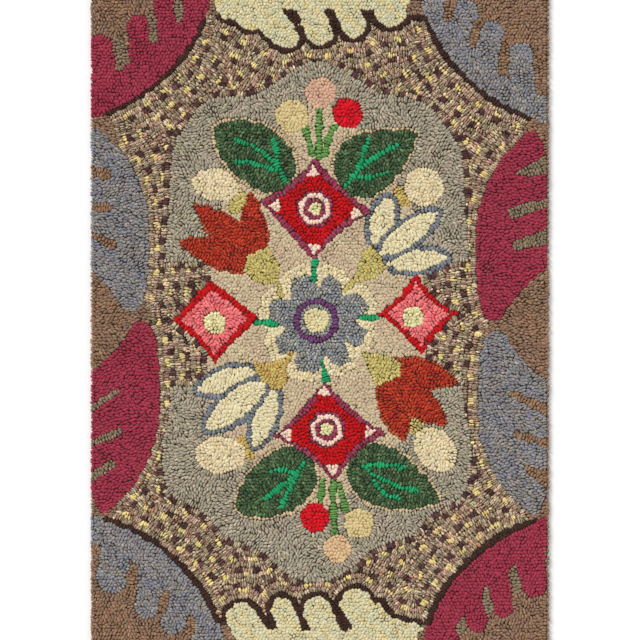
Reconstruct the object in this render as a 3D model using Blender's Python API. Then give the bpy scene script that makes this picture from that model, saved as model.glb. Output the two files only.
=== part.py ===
"""A hooked rug that lies flat: wool loops on a burlap foundation, as one closed solid.

Units are metres and +Z is up. The origin is on the underside, below the middle of the rug.
+X runs across the rug and +Y along it.
"""

import math

import bmesh
import bpy

# Driving dimensions
WIDTH = 0.610
LENGTH = 0.914
FOUNDATION = 0.0018
PILE = 0.0065
THICKNESS = FOUNDATION + PILE

# The edge's section, from the underside to the top of the pile.
# The loops lean out past the foundation and round over at the top.
HEM_INSET = 0.0016
EDGE_SECTION = [
    {"height": 0.0, "inset": HEM_INSET},
    {"height": FOUNDATION, "inset": HEM_INSET},
    {"height": FOUNDATION + 0.16 * PILE, "inset": 0.0004},
    {"height": FOUNDATION + 0.45 * PILE, "inset": 0.0},
    {"height": FOUNDATION + 0.75 * PILE, "inset": 0.0010},
    {"height": FOUNDATION + 0.93 * PILE, "inset": 0.0032},
]

# Hand-worked unevenness: how far the sides wander in, and how far the pile dips.
SIDE_WANDER = 0.0009
END_WANDER = 0.0016
CORNER_ROUNDING = 0.0022
BROAD_DIP = 0.0006
FINE_DIP = 0.0003

# The pile's surface is a grid of about this cell.
CELL = 0.019
COLUMNS = round(WIDTH / CELL)
ROWS = round(LENGTH / CELL)

RUG_COLOUR = (0.33, 0.27, 0.20, 1.0)
RUG_ROUGHNESS = 0.95


def clear_scene():
    for obj in list(bpy.data.objects):
        bpy.data.objects.remove(obj)


def wander(along, span, depth, phase):
    """How far an edge lies inside the rug's box. It touches the box where the wave is at its top."""
    slow = math.cos(2 * math.pi * 1.5 * along / span + phase)
    quick = math.cos(2 * math.pi * 4.0 * along / span + phase)
    return depth * (1 - 0.7 * slow - 0.3 * quick) / 2


def pile_height(x, y):
    """The top of the loops, which were pulled up by hand and so stand a little uneven."""
    broad = math.sin(21 * x + 7 * y) * math.cos(17 * y - 5 * x + 0.6)
    fine = math.sin(83 * x + 0.4) * math.cos(71 * y + 1.1)
    return THICKNESS - BROAD_DIP * (1 + broad) / 2 - FINE_DIP * (1 + fine) / 2


def edge_point(across, along, inset):
    """A point of the outline. across and along run from -1 to 1, and one of them is at its limit."""
    x, y = across * WIDTH / 2, along * LENGTH / 2
    at_side, at_end = abs(across) == 1, abs(along) == 1
    rounding = CORNER_ROUNDING if at_side and at_end else 0.0
    if at_side:
        side_phase = 0.0 if across > 0 else math.pi
        drawn_in = inset + rounding + wander(y, LENGTH, SIDE_WANDER, side_phase)
        x -= math.copysign(drawn_in, across)
    if at_end:
        end_phase = 0.0 if along > 0 else math.pi
        drawn_in = inset + rounding + wander(x, WIDTH, END_WANDER, end_phase)
        y -= math.copysign(drawn_in, along)
    return x, y


def outline_steps():
    """The grid's outer points in order, once round the rug, as (across, along)."""
    xs = [2 * i / COLUMNS - 1 for i in range(COLUMNS + 1)]
    ys = [2 * j / ROWS - 1 for j in range(ROWS + 1)]
    near = [(x, -1.0) for x in xs[:-1]]
    right = [(1.0, y) for y in ys[:-1]]
    far = [(x, 1.0) for x in reversed(xs[1:])]
    left = [(-1.0, y) for y in reversed(ys[1:])]
    return near + right + far + left


def add_edge(mesh, steps):
    """Rings of points up the edge's section, joined by faces. It gives the first and last ring."""
    rings = []
    for level in EDGE_SECTION:
        ring = []
        for across, along in steps:
            x, y = edge_point(across, along, level["inset"])
            ring.append(mesh.verts.new((x, y, level["height"])))
        rings.append(ring)
    for low, high in zip(rings, rings[1:]):
        for k in range(len(steps)):
            after = (k + 1) % len(steps)
            mesh.faces.new((low[k], low[after], high[after], high[k]))
    return rings[0], rings[-1]


def add_pile(mesh, steps, rim):
    """The top, a grid whose outer points are the rim of the edge."""
    at_rim = {step: vert for step, vert in zip(steps, rim)}
    rim_inset = EDGE_SECTION[-1]["inset"]
    grid = []
    for j in range(ROWS + 1):
        along = 2 * j / ROWS - 1
        row = []
        for i in range(COLUMNS + 1):
            across = 2 * i / COLUMNS - 1
            vert = at_rim.get((across, along))
            if vert is None:
                x = across * (WIDTH / 2 - rim_inset)
                y = along * (LENGTH / 2 - rim_inset)
                vert = mesh.verts.new((x, y, pile_height(x, y)))
            row.append(vert)
        grid.append(row)
    for low, high in zip(grid, grid[1:]):
        for i in range(COLUMNS):
            mesh.faces.new((low[i], low[i + 1], high[i + 1], high[i]))


def wool_material():
    material = bpy.data.materials.new("hooked_wool")
    material.use_nodes = True
    shader = material.node_tree.nodes["Principled BSDF"]
    shader.inputs["Base Color"].default_value = RUG_COLOUR
    shader.inputs["Roughness"].default_value = RUG_ROUGHNESS
    shader.inputs["Metallic"].default_value = 0.0
    return material


def make_rug():
    mesh = bmesh.new()
    steps = outline_steps()
    bottom, rim = add_edge(mesh, steps)
    add_pile(mesh, steps, rim)
    mesh.faces.new(list(reversed(bottom)))
    bmesh.ops.recalc_face_normals(mesh, faces=mesh.faces)
    data = bpy.data.meshes.new("hooked_rug")
    mesh.to_mesh(data)
    mesh.free()
    data.shade_smooth()
    data.set_sharp_from_angle(angle=math.radians(40))
    data.materials.append(wool_material())
    rug = bpy.data.objects.new("hooked_rug", data)
    bpy.context.scene.collection.objects.link(rug)
    return rug


clear_scene()
make_rug()
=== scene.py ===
"""The looks of a hooked rug: its burlap, and every wool loop that is pulled up through it.

The pattern is drawn in millimetres on the rug's face, X to the right and Y up, from its middle.
Each colour area is filled with loops that share the room evenly, as rows hooked by hand do.
"""

import math
from collections import namedtuple

import bpy
import numpy as np
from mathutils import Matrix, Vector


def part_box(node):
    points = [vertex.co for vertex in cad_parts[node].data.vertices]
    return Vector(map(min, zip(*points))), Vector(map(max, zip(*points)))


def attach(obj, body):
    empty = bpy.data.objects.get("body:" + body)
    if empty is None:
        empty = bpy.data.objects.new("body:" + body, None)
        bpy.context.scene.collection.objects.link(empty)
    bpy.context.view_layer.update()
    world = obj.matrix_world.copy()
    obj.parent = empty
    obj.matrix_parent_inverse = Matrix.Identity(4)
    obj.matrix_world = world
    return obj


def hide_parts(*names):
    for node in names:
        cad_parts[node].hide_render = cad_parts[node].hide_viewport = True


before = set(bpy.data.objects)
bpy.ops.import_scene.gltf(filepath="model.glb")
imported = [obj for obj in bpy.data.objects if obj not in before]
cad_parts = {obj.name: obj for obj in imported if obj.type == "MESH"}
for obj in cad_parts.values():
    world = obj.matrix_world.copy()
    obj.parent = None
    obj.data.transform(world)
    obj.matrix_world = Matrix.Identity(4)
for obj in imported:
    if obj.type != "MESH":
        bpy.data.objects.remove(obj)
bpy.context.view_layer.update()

MM = 0.001
LOW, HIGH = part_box("hooked_rug")
WIDTH = (HIGH[0] - LOW[0]) / MM
LENGTH = (HIGH[1] - LOW[1]) / MM
TOP = HIGH[2]
# How thick the burlap is, in metres.
FOUNDATION = 0.0018
SEED = 11

# Colours of the dyed wools (red, green and blue up to 255). A wool goes between its three shades in
# patches of a size in millimetres. stray says how far a loop strays, and fleck how flecked it is.
Wool = namedtuple("Wool", "shades patch stray fleck")
WOOLS = {
    "red": Wool([(157, 50, 72), (151, 46, 66), (163, 59, 78)], 60, 0.07, 0.20),
    "blue": Wool([(138, 134, 131), (125, 127, 143), (152, 143, 132)], 24, 0.11, 0.45),
    "brown": Wool([(145, 114, 91), (149, 113, 86), (138, 112, 93)], 50, 0.11, 0.35),
    "slot_grey": Wool([(138, 121, 98), (130, 114, 90), (146, 128, 104)], 20, 0.09, 0.35),
    "slot_orange": Wool([(147, 113, 86), (138, 105, 79), (154, 122, 96)], 20, 0.10, 0.35),
    "cream": Wool([(210, 203, 168), (222, 198, 130), (199, 202, 178)], 11, 0.05, 0.24),
    "dark": Wool([(66, 42, 34), (58, 34, 30), (76, 50, 40)], 30, 0.12, 0.30),
    "tweed": Wool([(166, 142, 116), (138, 120, 98), (197, 177, 147)], 7, 0.20, 0.70),
    "tweed_rose": Wool([(167, 135, 114), (137, 107, 90), (197, 169, 145)], 7, 0.20, 0.70),
    "tweed_yellow": Wool([(228, 206, 132), (212, 188, 112), (236, 218, 160)], 9, 0.08, 0.25),
    "tweed_plum": Wool([(86, 56, 56), (68, 42, 42), (112, 78, 72)], 9, 0.20, 0.45),
    "tweed_rust": Wool([(178, 124, 92), (160, 108, 80), (184, 140, 104)], 9, 0.10, 0.50),
    "grey": Wool([(168, 157, 136), (155, 150, 129), (179, 165, 145)], 34, 0.10, 0.40),
    "beige": Wool([(199, 180, 147), (203, 188, 154), (194, 168, 143)], 30, 0.06, 0.22),
    "beige_line": Wool([(200, 178, 142), (192, 168, 132), (208, 188, 152)], 20, 0.07, 0.30),
    "leaf": Wool([(69, 93, 61), (51, 77, 48), (93, 113, 78)], 12, 0.20, 0.60),
    "vein": Wool([(30, 152, 98), (22, 140, 84), (40, 166, 110)], 20, 0.08, 0.20),
    "stem": Wool([(98, 148, 74), (86, 136, 62), (112, 158, 88)], 20, 0.08, 0.25),
    "scarlet": Wool([(192, 8, 16), (176, 6, 14), (204, 20, 28)], 20, 0.09, 0.20),
    "plum": Wool([(146, 52, 80), (136, 42, 72), (158, 76, 98)], 16, 0.08, 0.30),
    "shell": Wool([(234, 204, 184), (226, 194, 170), (240, 216, 198)], 14, 0.05, 0.25),
    "lime": Wool([(222, 213, 160), (212, 204, 146), (228, 220, 174)], 14, 0.06, 0.30),
    "pink": Wool([(230, 115, 117), (220, 97, 102), (239, 140, 140)], 12, 0.08, 0.30),
    "slate": Wool([(144, 144, 138), (127, 133, 142), (162, 157, 146)], 12, 0.14, 0.60),
    "slate_line": Wool([(118, 122, 130), (106, 112, 122), (132, 136, 140)], 12, 0.10, 0.40),
    "purple": Wool([(108, 60, 106), (96, 50, 94), (120, 76, 116)], 12, 0.09, 0.30),
    "butter": Wool([(220, 207, 159), (212, 197, 145), (225, 217, 174)], 12, 0.04, 0.12),
    "halo": Wool([(219, 203, 163), (210, 192, 149), (226, 213, 178)], 14, 0.07, 0.30),
    "ball_yellow": Wool([(211, 190, 137), (203, 178, 118), (217, 201, 154)], 12, 0.04, 0.15),
    "ball_pink": Wool([(208, 166, 141), (200, 155, 128), (216, 180, 154)], 12, 0.04, 0.12),
    "ball_red": Wool([(212, 10, 28), (198, 6, 22), (222, 28, 46)], 12, 0.08, 0.20),
    "ball_peach": Wool([(213, 179, 138), (205, 167, 122), (219, 193, 154)], 12, 0.04, 0.15),
    "bud": Wool([(220, 204, 166), (214, 193, 149), (226, 212, 180)], 14, 0.06, 0.25),
    "rust": Wool([(174, 49, 36), (157, 36, 28), (194, 74, 40)], 12, 0.10, 0.35),
    "rust_edge": Wool([(179, 73, 43), (166, 56, 36), (193, 91, 55)], 12, 0.10, 0.35),
    "petal": Wool([(222, 210, 169), (214, 200, 155), (230, 220, 187)], 14, 0.05, 0.20),
    "calyx": Wool([(194, 178, 108), (184, 168, 96), (204, 190, 122)], 12, 0.07, 0.35),
    "ochre": Wool([(196, 168, 94), (188, 148, 82), (204, 188, 114)], 12, 0.07, 0.35),
}

# Colour areas: the piece that holds an area's loops, a loop's size across and along its row, and how
# wide its rounded top is. lie says how loops lie: across a row that follows the area's edge or the
# border (outer), or level with the rug's ends. The wool has the area's name, unless it is given.
Area = namedtuple("Area", "name piece across along full lie wool", defaults=["edge", None])
ROW = 6.9
AREAS = [
    Area("tweed", "ground_tweed", ROW, 3.0, 1.04, "outer"),
    Area("brown", "ground_brown", 6.6, 3.4, 1.04, "level"),
    Area("corner_brown", "ground_brown", 6.0, 3.5, 1.04, wool="brown"),
    Area("slot_grey", "ground_brown", 5.8, 3.6, 1.0),
    Area("slot_orange", "ground_brown", 5.8, 3.6, 1.0),
    Area("corner_red", "scrolls_red", 5.3, 3.9, 1.08, wool="red"),
    Area("side_red", "scrolls_red", 6.4, 3.5, 1.08, "level", "red"),
    Area("corner_blue", "scrolls_blue", 5.6, 3.5, 1.08, wool="blue"),
    Area("side_blue", "scrolls_blue", 6.4, 3.4, 1.04, "level", "blue"),
    Area("dark", "scroll_outlines", 7.4, 3.4, 1.0),
    Area("cream", "scrolls_cream", 5.4, 3.4, 1.36),
    Area("grey", "medallion", 6.9, 3.3, 1.03),
    Area("beige", "medallion_middle", 5.7, 3.3, 1.36),
    Area("beige_line", "medallion_middle", 6.0, 3.2, 1.08),
    Area("leaf", "leaves", 6.2, 3.5, 1.0),
    Area("vein", "leaves", 8.6, 3.7, 1.04),
    Area("stem", "berries_and_stems", 9.4, 3.7, 1.04),
    Area("scarlet", "diamonds_red", 6.0, 3.6, 1.0),
    Area("plum", "diamonds_red", 6.8, 4.4, 1.04),
    Area("shell", "diamonds_red", 5.4, 3.8, 1.3),
    Area("lime", "diamonds_red", 5.4, 3.8, 1.3),
    Area("pink", "diamonds_pink", 6.4, 3.4, 1.08),
    Area("pink_rim", "diamonds_pink", 7.4, 4.8, 1.04, wool="scarlet"),
    Area("pink_dot", "diamonds_pink", 5.6, 3.8, 1.3, wool="lime"),
    Area("slate", "middle_flower", 5.2, 3.5, 1.02),
    Area("purple", "middle_flower", 7.4, 4.4, 1.04),
    Area("butter", "middle_flower", 5.6, 3.5, 1.36),
    Area("halo", "middle_flower", 5.8, 3.4, 1.34),
    Area("ball_yellow", "berries_and_stems", 5.6, 3.6, 1.36),
    Area("ball_pink", "berries_and_stems", 5.6, 3.6, 1.36),
    Area("ball_red", "berries_and_stems", 6.0, 3.8, 1.06),
    Area("ball_peach", "berries_and_stems", 5.6, 3.6, 1.36),
    Area("bud", "buds", 6.2, 3.5, 1.32),
    Area("rust", "tulips_rust", 6.2, 3.4, 1.0),
    Area("rust_edge", "tulips_rust", 5.6, 3.6, 1.0),
    Area("petal", "tulips_white", 6.6, 3.3, 1.32),
    Area("petal_line", "tulips_white", 6.4, 4.4, 1.04, wool="slate_line"),
    Area("calyx", "buds", 6.2, 3.3, 1.18),
    Area("ochre", "buds", 6.2, 3.3, 1.18),
]
CODE = {area.name: code for code, area in enumerate(AREAS)}

# The drawing grid: one cell each millimetre, over the whole face, that holds its colour area's code.
NX, NY = round(WIDTH), round(LENGTH)
GX = (np.arange(NX) + 0.5 - WIDTH / 2).astype(np.float32)
GY = (np.arange(NY) + 0.5 - LENGTH / 2).astype(np.float32)
X, Y = GX[None, :], GY[:, None]
face = np.full((NY, NX), CODE["tweed"], dtype=np.int16)

# Every edge wavers a little, because wool can only be pulled up between the burlap's threads.
WAVER = 1.15
WAVER_X = WAVER * (np.sin(Y / 1.9 + 1.3 * np.sin(X / 5.1)) * 0.5 + np.sin(Y / 4.3 + X / 3.1))
WAVER_Y = WAVER * (np.sin(X / 2.1 + 1.4 * np.sin(Y / 4.7)) * 0.5 + np.sin(X / 4.7 - Y / 3.3))

# Drawing tools

# How many points a curve has on each stretch, on an oval, down one side of a leaf, along one side of
# a diamond and round a rosette.
CURVE_POINTS, OVAL_POINTS, LEAF_POINTS, DIAMOND_POINTS, ROSETTE_POINTS = 6, 40, 22, 8, 160
# How far a leaf's points stray from its outline, and how fast that changes from point to point.
RAGGED, RAGGED_TURN = 0.6, 1.9


def smooth(points, closed=True):
    """A rounded curve through the points, closed or open."""
    p = np.array(points, dtype=float)
    if closed:
        p = np.vstack([p[-1], p, p[:2]])
    else:
        p = np.vstack([2 * p[0] - p[1], p, 2 * p[-1] - p[-2]])
    a, b, c, d = p[:-3], p[1:-2], p[2:-1], p[3:]
    out = []
    for t in np.arange(CURVE_POINTS) / CURVE_POINTS:
        square = (2 * a - 5 * b + 4 * c - d) * t**2
        cube = (3 * b - a - 3 * c + d) * t**3
        out.append(0.5 * (2 * b + (c - a) * t + square + cube))
    curve = np.stack(out, axis=1).reshape(-1, 2)
    return curve if closed else np.vstack([curve, p[-2]])


def window(points, margin=0.0):
    """The part of the grid round some points, as slices and the cells' wavering places."""
    p = np.asarray(points)
    x0, x1 = np.searchsorted(GX, [p[:, 0].min() - margin, p[:, 0].max() + margin])
    y0, y1 = np.searchsorted(GY, [p[:, 1].min() - margin, p[:, 1].max() + margin])
    where = (slice(y0, y1), slice(x0, x1))
    return where, X[:, x0:x1] + WAVER_X[where], Y[y0:y1] + WAVER_Y[where]


def colour_in(where, hit, name, only):
    """Gives cells of the grid to a colour area. only keeps that to cells of some areas."""
    if only is not None:
        hit &= np.isin(face[where], [CODE[other] for other in only])
    face[where][hit] = CODE[name]


def fill(points, name, only=None):
    """Gives the inside of an outline to a colour area."""
    where, x, y = window(points)
    inside = np.zeros(face[where].shape, dtype=bool)
    p = np.asarray(points)
    for (xa, ya), (xb, yb) in zip(p, np.roll(p, -1, axis=0)):
        if ya == yb:
            continue
        crosses = (ya > y) != (yb > y)
        inside ^= crosses & (x < (xb - xa) * (y - ya) / (yb - ya) + xa)
    colour_in(where, inside, name, only)


def stroke(points, width, name, end_width=None, only=None):
    """Draws a line with round ends, which may taper."""
    p = np.asarray(points, dtype=float)
    end_width = width if end_width is None else end_width
    tiny = 1e-9
    run = np.concatenate([[0], np.cumsum(np.hypot(*np.diff(p, axis=0).T))])
    where, x, y = window(p, max(width, end_width))
    hit = np.zeros(face[where].shape, dtype=bool)
    for k in range(len(p) - 1):
        (xa, ya), (xb, yb) = p[k], p[k + 1]
        dx, dy = xb - xa, yb - ya
        t = np.clip(((x - xa) * dx + (y - ya) * dy) / max(dx * dx + dy * dy, tiny), 0, 1)
        share = (run[k] + t * (run[k + 1] - run[k])) / max(run[-1], tiny)
        half = (width + (end_width - width) * share) / 2
        hit |= np.hypot(x - xa - t * dx, y - ya - t * dy) <= half
    colour_in(where, hit, name, only)


def oval(x, y, half_long, half_short, turn=0.0):
    """An ellipse's outline. turn is in degrees."""
    a = np.linspace(0, 2 * math.pi, OVAL_POINTS, endpoint=False)
    c, s = math.cos(math.radians(turn)), math.sin(math.radians(turn))
    u, v = half_long * np.cos(a), half_short * np.sin(a)
    return np.stack([x + c * u - s * v, y + s * u + c * v], axis=1)


def disc(x, y, radius, name):
    fill(oval(x, y, radius, radius), name)


def draw_rings(x, y, rings):
    """Discs on one middle, from the widest in."""
    for name, radius in rings:
        disc(x, y, radius, name)


def leaf(base, tip, left, right, base_power, tip_power, grow=0.0):
    """A leaf's or petal's outline from base to tip. left and right are its greatest half widths.

    A low power makes an end blunt and a high one makes it sharp. grow widens the whole outline.
    """
    base, tip = np.array(base, dtype=float), np.array(tip, dtype=float)
    length = np.hypot(*(tip - base))
    along = (tip - base) / length
    side = np.array([-along[1], along[0]])
    t = (1 - np.cos(np.linspace(0, math.pi, LEAF_POINTS))) / 2
    crest = base_power / (base_power + tip_power)
    top = crest**base_power * (1 - crest) ** tip_power
    bulge = t**base_power * (1 - t) ** tip_power / top
    ragged = RAGGED * np.sin(RAGGED_TURN * np.arange(len(t))) * (t > 0) * (t < 1)
    spine = base + np.outer(t * (length + 2 * grow) - grow, along)
    one = spine + np.outer(bulge * (left + grow) + ragged, side)
    other = spine - np.outer(bulge * (right + grow) - ragged, side)
    return np.vstack([one, other[-2:0:-1]])


def diamond(tips, hollows, inset=0.0):
    """Four tips joined by sides that each bend in by a hollow, drawn inset from their outline."""
    tips = np.array(tips, dtype=float)
    middle = tips.mean(axis=0)
    # A corner moves in by this much for each millimetre that the sides do.
    mitre = 1.42
    out = []
    for a, b, hollow in zip(tips, np.roll(tips, -1, axis=0), hollows):
        half = (a + b) / 2
        towards = (middle - half) / np.hypot(*(middle - half))
        for t in np.arange(DIAMOND_POINTS) / DIAMOND_POINTS:
            out.append(a + (b - a) * t + towards * hollow * 4 * t * (1 - t))
    reach = np.hypot(*(tips - middle).T).mean()
    return middle + (np.array(out) - middle) * (1 - inset * mitre / reach)


def rosette(x, y, notch, reach):
    """A flower of square lobes, unequal as drawn by hand, with sharp notches between them."""
    lobes, turn = 8, math.radians(28)
    lobe_share, corner_rise, corner_end = 0.60, 0.07, 0.4
    a = np.linspace(0, 2 * math.pi, ROSETTE_POINTS, endpoint=False)
    bent = a - turn - 0.08 * np.sin(a - 2.8) + 0.04 * np.sin(3 * a + 2)
    from_lobe = np.arccos(np.abs(np.cos(lobes / 2 * bent))) * 2 / math.pi
    lobe = np.clip((1 - from_lobe) / lobe_share, 0, 1)
    corner = 1 + corner_rise * np.minimum(from_lobe, corner_end)
    wander = 2.0 * np.sin(3 * a + 1.0) + 1.4 * np.sin(5 * a)
    r = (notch + (reach - notch) * lobe) * corner + wander
    return np.stack([x + r * np.cos(a), y + r * np.sin(a)], axis=1)


# The border's grounds and scrolls. Shapes are set out for the upper right quarter, and each scroll
# says its side (1 right, -1 left), its end (1 top, -1 bottom) and how far it is shifted from there.


def placed(points, side, end, shift=(0, 0)):
    return [(side * (x + shift[0]), end * (y + shift[1])) for x, y in points]


# The side's brown ground shows beyond the tips of the scrolls that lie on it.
SIDE_GROUND = [(325, 262), (278, 264), (268, 230), (242, 170), (240, 50), (226, 8), (226, -8),
               (240, -50), (240, -170), (268, -230), (278, -264), (325, -262)]
# The end's brown ground shows between the cream scrolls and the corner ones.
END_GROUND = [(100, 500), (100, 440), (112, 405), (160, 405), (160, 500)]
END_LINE = [(104, 402), (136, 402)]
# The wool that runs into each scroll's slots from the ground behind it.
SLOTS = {"corner_red": "slot_grey", "side_red": "slot_grey",
         "corner_blue": "slot_orange", "side_blue": "slot_orange"}

# A corner scroll's smooth front. Its palm lies behind the front, and its fingers rise from there: a
# finger's root is a place along the palm. A slot runs from its deep end to between two fingers. palm
# and line are widths.
Finger = namedtuple("Finger", "root tip width")
CornerScroll = namedtuple("CornerScroll", "name side end shift palm line deep fingers")
CORNER = (340, 500)
CORNER_FRONT = [(322, 254), (272, 271), (231, 291), (194, 321), (161, 359), (140, 402), (132, 440),
                (131, 490)]
CORNER_SCROLLS = [
    CornerScroll("corner_red", -1, 1, (11, 4), 44, 6.2, [(188, 399), (221, 372), (264, 346)],
                 [Finger(160, (166, 431), 40), Finger(208, (208, 423), 25),
                  Finger(236, (241, 391), 31), Finger(285, (292, 363), 33)]),
    CornerScroll("corner_blue", 1, 1, (0, 0), 35, 6.6, [(170, 400), (203, 367), (245, 335)],
                 [Finger(144, (146, 436), 28), Finger(187, (195, 411), 32),
                  Finger(217, (228, 382), 32), Finger(272, (267, 353), 33)]),
    CornerScroll("corner_blue", -1, -1, (-4, 0), 37, 6.6, [(172, 398), (204, 364), (251, 335)],
                 [Finger(152, (149, 432), 42), Finger(184, (195, 402), 34),
                  Finger(222, (229, 380), 35), Finger(268, (277, 343), 42)]),
    CornerScroll("corner_red", 1, -1, (4, 0), 42, 8.0, [(190, 400), (221, 361), (258, 332)],
                 [Finger(166, (163, 430), 41), Finger(201, (209, 402), 27),
                  Finger(235, (243, 382), 28), Finger(276, (285, 350), 38)]),
]
SLOT_WIDTH = 9.5
# A slot's mouth is this much wider, and it stops at this share of the way to the fingers' tips.
SLOT_FLARE, SLOT_LENGTH = 1.35, 0.8
# A dark line runs along the front between these places.
LINE_SIDE, LINE_END = 287, 404

# A side scroll's outline, which a scroll stretches (long), and the slots that run into it from their
# mouths at the rug's edge. mouth is a height there, and narrow and wide are the widths at both ends.
Slot = namedtuple("Slot", "tip mouth narrow wide")
SideScroll = namedtuple("SideScroll", "name side end shift long slots")
SIDE_OUTLINE = [(280, 257), (254, 232), (231, 203), (212, 155), (207, 110), (209, 52), (215, 18),
                (226, 4), (240, 6), (251, 22), (264, 40), (283, 58), (302, 74), (326, 96), (326, 190),
                (301, 222), (294, 242)]
SIDE_TOP = 257
SIDE_MOUTH = 309
SIDE_SCROLLS = [
    SideScroll("side_blue", -1, 1, (20, 0), 0.97,
               [Slot((285, 194), 198, 14, 16), Slot((281, 149), 151, 12, 12), Slot((278, 100), 117, 13, 8)]),
    SideScroll("side_red", -1, -1, (6, 1), 1.01,
               [Slot((272, 96), 122, 9, 11), Slot((267, 149), 166, 9, 10), Slot((278, 192), 211, 11, 12)]),
    SideScroll("side_red", 1, 1, (0, -5), 1.0,
               [Slot((263, 195), 207, 7, 30), Slot((258, 143), 158, 15, 12), Slot((262, 98), 114, 13, 22)]),
    SideScroll("side_blue", 1, -1, (3, 3), 0.965,
               [Slot((256, 98), 123, 8, 16), Slot((262, 152), 168, 10, 10), Slot((275, 198), 215, 8, 26)]),
]

# A cream scroll: a body at the rug's end, lobes that hang from it, and dark cuts between them.
Lobe = namedtuple("Lobe", "root tip width")
CreamScroll = namedtuple("CreamScroll", "end body lobes cuts")
CREAM_LINE = 6.8
CREAM_SCROLLS = [
    CreamScroll(1, [(-140, 500), (-140, 424), (-110, 410), (-40, 412), (106, 416), (117, 440), (117, 500)],
                [Lobe((-118, 440), (-117, 421), 44), Lobe((-100, 430), (-92, 407), 42),
                 Lobe((-78, 413), (-45, 382), 41), Lobe((-14, 420), (1, 385), 38),
                 Lobe((34, 420), (45, 391), 32), Lobe((90, 430), (94, 412), 45)],
                [[(-48, 413), (-34, 396), (-20, 366)], [(9, 412), (16, 400), (25, 374)],
                 [(57, 411), (64, 402), (68, 390)]]),
    CreamScroll(-1, [(-84, 500), (-96, 428), (-60, 412), (50, 412), (76, 377), (89, 389), (103, 399),
                     (136, 408), (129, 428), (122, 500)],
                [Lobe((-86, 425), (-104, 398), 43), Lobe((-36, 425), (-50, 384), 30),
                 Lobe((14, 425), (-4, 386), 37), Lobe((62, 418), (48, 380), 44)],
                [[(-61, 402), (-72, 392), (-82, 374)], [(-15, 410), (-27, 394), (-36, 368)],
                 [(40, 408), (26, 386), (14, 362)]]),
]


def draw_corner_scroll(scroll):
    side, end, palm = scroll.side, scroll.end, scroll.palm
    front = smooth(placed(CORNER_FRONT, 1, 1, scroll.shift), closed=False)
    fill(placed(np.vstack([front, [CORNER]]), side, end), "corner_brown")
    run = np.gradient(front, axis=0)
    inward = np.stack([-run[:, 1], run[:, 0]], axis=1) / np.hypot(*run.T)[:, None]
    inward *= np.sign((CORNER - front) @ inward.mean(axis=0)).mean()
    spine = front + inward * palm / 2
    order = np.argsort(spine[:, 0])
    for finger in scroll.fingers:
        root = (finger.root, np.interp(finger.root, spine[order, 0], spine[order, 1]))
        stroke(placed([root, finger.tip], side, end), finger.width, scroll.name)
    stroke(placed(spine, side, end), palm, scroll.name)
    for deep, one, other in zip(scroll.deep, scroll.fingers, scroll.fingers[1:]):
        deep = np.array(deep, dtype=float)
        mouth = (np.array(one.tip) + other.tip) / 2
        line = placed([deep, deep + (mouth - deep) * SLOT_LENGTH], side, end)
        stroke(line, SLOT_WIDTH, SLOTS[scroll.name], SLOT_WIDTH * SLOT_FLARE,
               only=["corner_brown", scroll.name])
    lined = front[(front[:, 1] < LINE_END) & (front[:, 0] < LINE_SIDE)]
    stroke(placed(lined, side, end), scroll.line, "dark")


def draw_side_scroll(scroll):
    side, end, name = scroll.side, scroll.end, scroll.name
    outline = [(x, SIDE_TOP - (SIDE_TOP - y) * scroll.long) for x, y in SIDE_OUTLINE]
    fill(smooth(placed(outline, side, end, scroll.shift)), name)
    for slot in scroll.slots:
        line = placed([slot.tip, (SIDE_MOUTH, slot.mouth)], side, end)
        stroke(line, slot.narrow, SLOTS[name], slot.wide, only=[name])


def draw_cream_scroll(scroll):
    """The whole scroll is drawn dark and wider first, so that a dark line shows round it."""
    body = smooth(placed(scroll.body, 1, scroll.end))
    stroke(np.vstack([body, body[:1]]), 2 * CREAM_LINE, "dark")
    for name, grow in (("dark", CREAM_LINE), ("cream", 0)):
        fill(body, name)
        for lobe in scroll.lobes:
            stroke(placed([lobe.root, lobe.tip], 1, scroll.end), lobe.width + 2 * grow, name)
    for cut in scroll.cuts:
        stroke(placed(cut, 1, scroll.end), CREAM_LINE, "dark", only=["cream"])


# The medallion and the flowers on it

# Half outlines, from the top or bottom middle outwards. The other half is their mirror image.
MEDALLION_TOP = [(0, 346), (56, 318), (86, 301), (142, 293), (171, 266), (190, 224), (196, 160),
                 (204, 112), (204, 76), (196, 40), (100, 20)]
MEDALLION_BOTTOM = [(0, -350), (40, -335), (76, -306), (126, -288), (154, -260), (193, -236),
                    (204, -205), (202, -160), (197, -120), (198, -88), (192, -50), (100, -20)]
MIDDLE = [(0, 289), (44, 264), (74, 216), (119, 164), (146, 92), (136, 10), (150, -78), (124, -144),
          (68, -202), (34, -246), (0, -258)]
MEDALLION_SHIFT = 4
# How far a line drawn by hand wanders sideways and endways, and how long those waves are.
SIDEWAYS, ENDWAYS, SIDE_WAVE, END_WAVE = 3.5, 2.5, 29, 33
# The tweed ground comes in at both sides of the medallion between two heights.
BAY = [(-240, 77), (240, 77), (240, -88), (-240, -88)]


def both_halves(half):
    """A whole outline from its right half, with the small wander of a line drawn by hand."""
    half = np.array(half, dtype=float)
    inner = half[half[:, 0] > 0][::-1] * (-1, 1)
    whole = np.vstack([half, inner])
    whole[:, 0] += SIDEWAYS * np.sin(whole[:, 1] / SIDE_WAVE + 1) * np.sign(whole[:, 0])
    whole[:, 0] -= MEDALLION_SHIFT
    whole[:, 1] += ENDWAYS * np.sin(whole[:, 0] / END_WAVE)
    return smooth(whole)


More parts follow.
